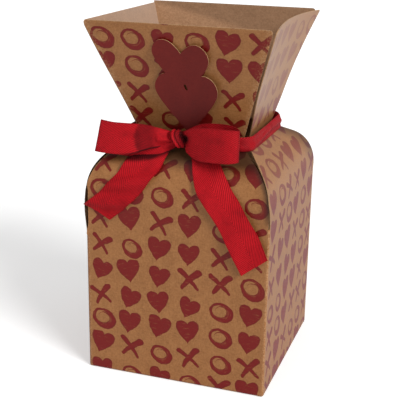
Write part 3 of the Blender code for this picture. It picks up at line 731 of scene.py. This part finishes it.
def flatPrism(name, outline, low, high, place):    # closed, over an outline in mm, moved by place
    mesh = bpy.data.meshes.new(name)
    count = len(outline)
    sides = [(a, b, b + count, a + count) for a, b in ((step, (step + 1) % count) for step in range(count))]
    points = [(x * mm, y * mm, z) for z in (low, high) for x, y in outline]
    mesh.from_pydata(points, [], [tuple(range(count, 2 * count)), tuple(range(count))[::-1]] + sides)
    mesh.transform(place)
    return linked(name, mesh)


def onTag(x, y, look):    # a point tilted and moved as look says, in mm
    tilt = radians(look["tilt"])
    return look["shift"] + x * cos(tilt) - y * sin(tilt), look["up"] + x * sin(tilt) + y * cos(tilt)


def heartOutline(look):
    half = splinePoints([(x * look["wide"], y * look["high"]) for x, y in tag["half"]], tag["halfPoints"])
    whole = half + [Vector((-p.x, p.y)) for p in reversed(half[1:-1])]
    return [onTag(p.x + look["skew"] * (1 - p.y / look["high"]), p.y, look) for p in whole]


def slotOutline(look):
    outline = []
    for step in range(look["points"]):
        angle = 2 * pi * (step + 0.5) / look["points"]
        x, y = look["wide"] / 2 * cos(angle), look["wide"] / 2 * sin(angle)
        outline.append(onTag(x, y + copysign((look["long"] - look["wide"]) / 2, sin(angle)), look))
    return outline


def curlTag(piece, place):
    bm = bmesh.new()
    bm.from_mesh(piece.data)
    side, out = place.col[0].xyz, place.col[2].xyz
    reach = int(tag["curlReach"] / tag["curlStep"])
    for step in range(-reach, reach + 1):
        spot = place @ Vector((step * tag["curlStep"], 0, 0))
        geom = bm.verts[:] + bm.edges[:] + bm.faces[:]
        bmesh.ops.bisect_plane(bm, geom=geom, plane_co=spot, plane_no=side)
    for vertex in bm.verts:
        share = (vertex.co - place.translation).dot(side) / tag["curlReach"]
        vertex.co += out * tag["curl"] * share * share
    bm.to_mesh(piece.data)
    bm.free()
    piece.data.set_sharp_from_angle(angle=radians(tag["sharp"]))


def heartTag():
    lean, half, slot = petals["lean"], tag["thick"] / 2, tag["slot"]
    settle = asin((tag["tipOff"] - tag["topOff"]) / (tag["upper"]["up"] + tag["upper"]["high"]))
    out = Vector((0, -cos(lean), -sin(lean)))
    tip = Vector((0, -neckHalf, neckHeight)) + tag["tipUp"] * mm * Vector((0, -sin(lean), cos(lean)))
    spot = tip + out * (tag["tipOff"] * mm + half)
    place = Matrix.Translation(spot) @ Matrix.Rotation(quarter + lean - settle, 4, "X")
    piece = flatPrism("heart_tag_card", heartOutline(tag["lower"]), -half, half, place)
    other = flatPrism("upper_heart_join", heartOutline(tag["upper"]), -half, half, place)
    punch = flatPrism("slot_punch", slotOutline(slot), -2 * half, 2 * half, place)
    for cutter, operation in ((other, "UNION"), (punch, "DIFFERENCE")):
        step = piece.modifiers.new(cutter.name, "BOOLEAN")
        step.operation = operation
        step.object = cutter
        step.solver = "EXACT"
    bpy.context.view_layer.update()
    applied(piece, tag["sharp"])
    for cutter in (other, punch):
        bpy.data.objects.remove(cutter)
    curlTag(piece, place)
    piece.data.materials.clear()
    for material in (tagFace, plain, cutEdge):
        piece.data.materials.append(material)
    hole = place @ Vector((slot["shift"] * mm, slot["up"] * mm, 0))
    for polygon in piece.data.polygons:
        facing = polygon.normal.dot(place.col[2].xyz)
        inSlot = (polygon.center - hole).length < slot["long"] * mm
        # the slot's walls take the dark tag card rather than the cut edge: painted shade in the hole
        polygon.material_index = 1 if facing < -0.7 else 0 if facing > 0.7 or inSlot else 2
    # painted shade towards the bow
    shade = piece.data.attributes.new("shade", "FLOAT", "POINT")
    rise = ((place.inverted() @ vertex.co).y for vertex in piece.data.vertices)
    shade.data.foreach_set("value", [tag["paintedShade"] * near(up, tag["paintedShadeReach"]) for up in rise])
    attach(piece, "heart_tag")
    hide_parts("heart_tag")


heartTag()
print("tag cut")

# ribbon: one length of twill, tied round the neck and into a bow
ribbon = {
    "wide": 21 * mm,
    "thick": 0.45 * mm,
    # crease: painted shade in the soft cross creases
    "crease": 0.3,    # how dark the soft cross creases are
    "crumple": ((110, 0.32 * mm), (300, 0.12 * mm)),    # waves to the metre, and their depth
    "columns": 36, "loopRows": 100, "tailRows": 92, "knotRows": 72,
    "clear": 0.5 * mm,    # least distance off the card
    "knotShade": (0.25, 8), "turnShade": (0.35, 5),    # of a loop, and over how many rows
    "sharp": 60,
}


# how far a gathered ribbon folds off its middle, so that its cloth keeps that share of its width
def pleat(across, width, look):
    ratio = ribbon["wide"] * look["ease"] / width
    depth = 0.24 * width / look["pleats"] * sqrt(max(ratio * ratio - 1, 0.0))
    return depth * cos(pi * look["pleats"] * (across + 1) + look["phase"])


def runLengths(points):
    return list(accumulate(((b - a).length for a, b in zip(points, points[1:])), initial=0.0))


# how far the card's outer face stands out from the neck crease, at a height below it
def cardOut(height):
    low, high = card["wall"], panelLength
    for _ in range(24):
        middle = (low + high) / 2
        low, high = (middle, high) if panelProfile(middle)[1] < height else (low, middle)
    return neckInset - panelProfile(low)[0]


# a ribbon strip from place(across, row), which gives a point, the length along the cloth and its shade
def ribbonPiece(name, rows, place, ring=False):
    columns, spots = ribbon["columns"], []
    for row in range(rows + 1):
        for column in range(columns + 1):
            across = column / columns * 2 - 1
            point, along, shade = place(across, row)
            crumple = sum(noise.noise(point * scale) * depth for scale, depth in ribbon["crumple"])
            # painted shade along soft cross creases, from noise
            crease = noise.noise(Vector((across * 1.6, along * 150, 4)))
            shade = min(max(shade + ribbon["crease"] * max(crease, 0.0), 0.0), 1.0)
            spots.append((point + Vector((0, -crumple, 0)), (across * ribbon["wide"] / 2, along), shade))
    if ring:
        spots[-columns - 1:] = [(first[0], *last[1:]) for first, last in zip(spots, spots[-columns - 1:])]
    piece = newPiece(name, spots, gridFaces(0, rows, columns), [twillRed], ("weave", "shade"))
    thicken(piece, ribbon["thick"], 0, sharp=ribbon["sharp"])
    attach(piece, "root")
    return piece


# the two edges of a ribbon through the stations of look, and its run lengths
def edgePaths(look, rows):
    edges = [splinePoints([Vector(pair[side]) * mm for pair in look["stations"]], rows) for side in (0, 1)]
    return *edges, runLengths([(a + b) / 2 for a, b in zip(*edges)])


# the two loops, from the knot round and back: top and bottom edge,
# each (sideways, out from the crease, up) in mm
# paintedShade darkens a whole loop; dent and hollow dip the cloth and paint shade into the dip, and the
# dent also paints dark lines along both lower edges
loops = {
    "bow_loop_left": {
        "stations": [
            ((-5.5, 12, 5.5), (-4, 12, -1)), ((-11, 15, 7.5), (-10.5, 14.5, -2.5)),
            ((-19.5, 18.5, 10.5), (-19.5, 18, -4.5)), ((-30, 21.5, 11.5), (-31.5, 22, -8)),
            ((-42, 22, 11.5), (-46, 22.5, -8.5)), ((-50, 20.5, 12), (-54.5, 20.5, -8.5)),
            ((-42, 17, 10), (-46, 16, -10)), ((-26, 15, 9), (-27.5, 15.5, -11)),
            ((-13.5, 13, 6), (-13.5, 15, -8)), ((-5.5, 10.5, 4), (-4, 12.5, -3.5))],
        "pleats": 1, "phase": 3.4, "ease": 0.62, "flat": 0.098, "paintedShade": 0.0, "turn": 55,
        "dent": {"left": -29, "right": -12, "curve": 0.035, "deep": 0.8, "shade": 0.55,
                 "strip": -40, "edgeShade": 0.9},
    },
    "bow_loop_right": {
        "stations": [
            ((-1, 12.5, 6.5), (0, 12.5, -1.5)), ((4, 15.5, 9), (4.5, 15, -5.5)),
            ((11, 19.5, 12), (12, 19.5, -8)), ((21, 23.5, 13.5), (21.5, 23.5, -7.5)),
            ((33, 25.5, 14), (33.5, 25.5, -6.5)), ((39, 22, 13.5), (39, 22, -5.5)),
            ((30, 17, 15), (30, 17, -5.5)), ((15, 15.5, 14), (15, 15.5, -6)),
            ((5.5, 13.5, 10), (5.5, 13.5, -4)), ((-1, 11, 5.5), (0, 11, -1))],
        "pleats": 1, "phase": 2.6, "ease": 0.62, "flat": 0.090, "paintedShade": 0.16, "turn": 55,
        "hollow": {"x": 1.6, "up": 2.6, "wide": 2.6, "high": 2.8, "deep": 5.0, "shade": 1.3},
    },
}


def bowLoop(name):
    look, rows = loops[name], ribbon["loopRows"]
    (knotShade, knotReach), (turnShade, turnReach) = ribbon["knotShade"], ribbon["turnShade"]
    tops, lows, lengths = edgePaths(look, rows)
    hollow, dent = look.get("hollow"), look.get("dent")

    def place(across, row):
        point = lows[row].lerp(tops[row], (across + 1) / 2)
        out = point.y + pleat(across, (tops[row] - lows[row]).length, look)
        x, up = point.x / mm, point.z / mm
        # all shade set here is painted: over the whole loop, by the knot, at the turn, in the hollow, in
        # the dent and along the lower edges
        shade = look["paintedShade"] + knotShade * near(min(row, rows - row), knotReach)
        shade += turnShade * near(abs(row - look["turn"]), turnReach)
        if hollow:
            reach = ((x - hollow["x"]) / hollow["wide"]) ** 2 + ((up - hollow["up"]) / hollow["high"]) ** 2
            out -= hollow["deep"] * mm * exp(-reach)
            shade += hollow["shade"] * exp(-reach)
        if dent:    # both lower edges run into shadow by the knot
            shade += dent["edgeShade"] * smooth((-0.86 - across) / 0.1) * smooth((x - dent["strip"]) / 12)
        if dent and row < rows / 2:
            start = dent["left"] + dent["curve"] * (up - 2) ** 2
            share = smooth((x - start) / 1.2) * smooth((dent["right"] - x) / 8)
            out -= dent["deep"] * mm * share
            shade += dent["shade"] * share
        z = neckHeight + point.z
        out = max(out, cardOut(z) + 0.9 * mm if z < neckHeight else 0.0)
        return Vector((point.x, -neckHalf - out, z)), lengths[row], shade

    piece = ribbonPiece(name + "_twill", rows, place)
    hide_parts(name)


# the two tails: outer and inner edge, each (sideways, down the card from the crease, off the card) in mm;
# cover is the lower edge of the loop above, start + slope x + curve x x from the crease; above it the tail
# takes painted shadow, and paintedShade darkens its far end
tails = {
    "bow_tail_left": {
        "stations": [
            ((-6.5, 4.5, 8.5), (0.5, 5.5, 8)), ((-13, 10, 5), (-5.5, 10.5, 5)),
            ((-20.5, 13, 2.9), (-8, 12.5, 3.4)), ((-27.5, 16, 2.2), (-8.5, 15.5, 3)),
            ((-32, 20, 2.3), (-9.5, 19.5, 3.2)), ((-36.5, 26, 1.9), (-13, 28.5, 2.8)),
            ((-43.5, 36, 2), (-21.5, 40, 2.6)), ((-52.5, 45, 2), (-32.5, 51.5, 2.3)),
            ((-61, 52, 1.8), (-42.5, 60, 1.8))],
        "pleats": 2.5, "phase": 1.2, "ease": 0.8, "wave": 1.3, "waveLong": 19, "flat": 0.085,
        "cover": (-1.2, -0.62, 0.0095), "paintedShade": 0.16,
    },
    "bow_tail_right": {
        "stations": [
            ((-5, 6.5, 7.5), (2.5, 4, 7.5)), ((0.5, 10.5, 5.5), (8, 6.5, 5.5)),
            ((5, 14, 3.8), (16.5, 11.5, 3.8)), ((8, 18.5, 2.9), (24.5, 17, 2.9)),
            ((10, 26, 2.6), (30.5, 25, 2.5)), ((14, 36, 2.8), (36, 33, 2.5)),
            ((21, 45, 3.1), (42, 40, 2.7)), ((28.5, 56, 3.4), (48.5, 49.5, 3.1)),
            ((36, 69, 3.4), (54.5, 60, 3.1)), ((44, 85, 3.2), (60.5, 72, 3))],
        "pleats": 2.5, "phase": 0.2, "ease": 0.8, "wave": 0.7, "waveLong": 31, "flat": 0.102,
        "cover": (-1.8, -0.85, 0.0275), "paintedShade": 0.0,
    },
}


def overFront(x, down, off):
    inset, height, slope = panelProfile(panelLength - down)
    return Vector((x, -(card["half"] - inset + off * cos(slope)), height + off * sin(slope)))


def bowTail(name):
    look, rows = tails[name], ribbon["tailRows"]
    outer, inner, lengths = edgePaths(look, rows)

    def place(across, row):
        spot = outer[row].lerp(inner[row], (across + 1) / 2)
        run = lengths[row] / mm
        wave = sin(2 * pi * (run / look["waveLong"] + 0.3 * across)) * smooth((run - 18) / 12)
        off = spot.z + pleat(across, (outer[row] - inner[row]).length, look) + look["wave"] * mm * wave
        point = overFront(spot.x, spot.y, max(off, ribbon["clear"]))
        start, slope, curve = look["cover"]
        x = abs(spot.x) / mm
        under = smooth(((point.z - neckHeight) / mm - start - slope * x - curve * x * x + 2.6) / 2.4)
        return point, lengths[row], 0.9 * under + look["paintedShade"] * smooth((run - 30) / 25)

    piece = ribbonPiece(name + "_twill", rows, place)
    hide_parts(name)


# the band round the neck: distances out from the crease and up from it
band = {
    "topOut": 5.0 * mm, "topUp": 4.6 * mm, "lowOut": 5.9 * mm, "lowDown": 3.4 * mm,
    "frontRadius": 8.5 * mm, "rearRadius": 12.5 * mm,
    "fold": 0.6 * mm, "pinch": 1.6 * mm, "pinchReach": 16 * mm, "knotShift": -3 * mm,
    "loft": 0.5 * mm, "ridge": 0.9 * mm, "ridgeHigh": 0.2, "shade": 0.28,
    "sideSteps": 34, "cornerSteps": 16, "flat": 0.316,
}


def bandPath(out):
    half, steps, turns = neckHalf + out, band["sideSteps"], band["cornerSteps"]
    radii = (band["frontRadius"], band["frontRadius"], band["rearRadius"], band["rearRadius"])
    points = []
    for number, turn in enumerate(sideTurns):
        start, radius = -half + radii[number], radii[(number + 1) % 4]
        end = half - radius
        points += [turn @ Vector((start + (end - start) * step / steps, -half, 0)) for step in range(steps)]
        for step in range(turns):
            angle = quarter * step / turns
            points.append(turn @ Vector((end + radius * sin(angle), -end - radius * cos(angle), 0)))
    return points + [points[0]]


def doubled(across):    # a fold's outer layer is 1, its inner one -1
    return smooth(0.5 + across * 4) * 2 - 1


def neckBand():
    top, low = bandPath(band["topOut"]), bandPath(band["lowOut"])
    lengths, rows = runLengths(top), len(top) - 1
    corner = Vector((neckHalf, neckHalf, 0))

    def place(across, row):
        spot = top[row]
        nearFold = near((spot - corner).length, neckHalf)
        pinch = near(abs(spot.x - band["knotShift"]), band["pinchReach"]) if spot.y < 0 else 0.0
        lower = low[row] + Vector((0, 0, -band["lowDown"] + band["pinch"] * pinch))
        upper = spot + Vector((0, 0, band["topUp"] - band["pinch"] * pinch + band["fold"] * nearFold))
        height, layer = 1 - abs(across), doubled(across)    # height 1 at the fold, 0 at both edges
        drift = 0.45 + 0.2 * sin(6 * pi * row / rows + 1)
        ridge = exp(-((height - drift) / band["ridgeHigh"]) ** 2)
        valley = exp(-((height - drift + 0.3) / 0.12) ** 2)
        out = layer * band["loft"] + (band["ridge"] * (ridge - 0.4 * valley) if layer > 0 else 0.0) * layer
        point = lower.lerp(upper, height) + spot.normalized() * out + Vector((0, 0, neckHeight))
        return point, lengths[row], band["shade"] + 0.15 * valley * max(layer, 0.0)

    piece = ribbonPiece("ribbon_band_twill", rows, place, ring=True)
    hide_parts("ribbon_band")


# the knot: the ribbon folded double and wrapped round the middle of the bow, narrower towards its foot
knot = {
    "out": 12.2 * mm, "up": 2.4 * mm, "halfDepth": 3.6 * mm, "halfHeight": 3.9 * mm,
    "top": {"x": -4.4 * mm, "wide": 7.2 * mm}, "foot": {"x": -1.0 * mm, "wide": 5.6 * mm},
    "tuck": 2.4 * mm, "swell": 1.2 * mm,
    "loft": 0.5 * mm, "folds": 2.4, "phase": 0.9, "foldDeep": 0.75 * mm, "flat": 0.030,
}


def bowKnot():
    rows, deep, high = ribbon["knotRows"], knot["halfDepth"], knot["halfHeight"]
    top, foot = knot["top"], knot["foot"]

    def place(across, row):
        angle = 2 * pi * (row / rows + 0.5)    # from the back, over the foot
        share = smooth(0.5 + sin(angle) / 2)    # 1 at the top, 0 at the foot
        width = foot["wide"] + (top["wide"] - foot["wide"]) * share
        middle = foot["x"] + (top["x"] - foot["x"]) * share
        side, layer = 1 - 2 * abs(across), doubled(across)    # side 1 at the fold, -1 at both edges
        fold = cos(pi * knot["folds"] * (side + 1) + knot["phase"] + 0.7 * sin(angle))
        swell = knot["swell"] * (1 - side * side) + layer * knot["loft"]
        swell += knot["foldDeep"] * fold * (0.6 + 0.4 * layer)
        out = (deep + swell) * cos(angle) - knot["tuck"] * smooth(side) * max(cos(angle), 0.0)
        out += neckHalf + knot["out"]
        up = neckHeight + knot["up"] + (high + swell * 0.7) * sin(angle)
        shade = 0.1 + 0.6 * smooth(-fold) + 0.4 * smooth(side * 1.5)
        return Vector((middle + side * width / 2, -out, up)), angle * (deep + high) / 2, shade

    piece = ribbonPiece("bow_knot_twill", rows, place, ring=True)
    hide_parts("bow_knot")


neckBand()
bowKnot()
for name in loops:
    bowLoop(name)
for name in tails:
    bowTail(name)
print("bow tied")

# floor and light: a white sweep under broad soft light, with the key from the right
studio = {
    "world": 0.40, "backdrop": 1.0,
    "floorLift": 0.34, "floorHalf": 9, "floorDown": 0.3 * mm,
    # degrees, azimuth towards +X from the front
    "key": {"power": 2.6, "size": 26, "azimuth": 61, "height": 33},
    "fill": {"power": 0.45, "size": 80, "azimuth": -30, "height": 25},
}


def floor():
    material, tree, sockets = newMaterial("pale floor", Roughness=0.9, Specular_IOR_Level=0.1)
    tint = grain(addNode(tree, "TexCoord").outputs["Object"], 30)
    feed(sockets["Base Color"], blendColour(tint, (0.90, 0.90, 0.90, 1), (0.91, 0.91, 0.91, 1)))
    sockets["Emission Color"].default_value = white
    seen = addNode(tree, "LightPath").outputs["Is Camera Ray"]
    feed(sockets["Emission Strength"], times(seen, studio["floorLift"]))
    half, down = studio["floorHalf"], studio["floorDown"]
    spots = [((x * half, y * half, -down),) for x, y in ((-1, -1), (1, -1), (1, 1), (-1, 1))]
    newPiece("pale_floor", spots, [(0, 1, 2, 3)], [material])


def soften(name):
    look = studio[name]
    data = bpy.data.lights.new(name + "_light", "SUN")
    data.energy = look["power"]
    data.angle = radians(look["size"])
    azimuth, height = radians(look["azimuth"]), radians(look["height"])
    towards = Vector((sin(azimuth) * cos(height), -cos(azimuth) * cos(height), sin(height)))
    linked(name + "_light", data).rotation_euler = towards.to_track_quat("Z", "Y").to_euler()


floor()
soften("key")
soften("fill")
world = bpy.data.worlds.new("studio")
bpy.context.scene.world = world
world.use_nodes = True
backdrop = world.node_tree.nodes["Background"].inputs
backdrop["Color"].default_value = white
seen = addNode(world.node_tree, "LightPath").outputs["Is Camera Ray"]
feed(backdrop["Strength"], blend(seen, studio["world"], studio["backdrop"]))
bpy.context.scene.view_settings.view_transform = "Standard"
print("studio lit")
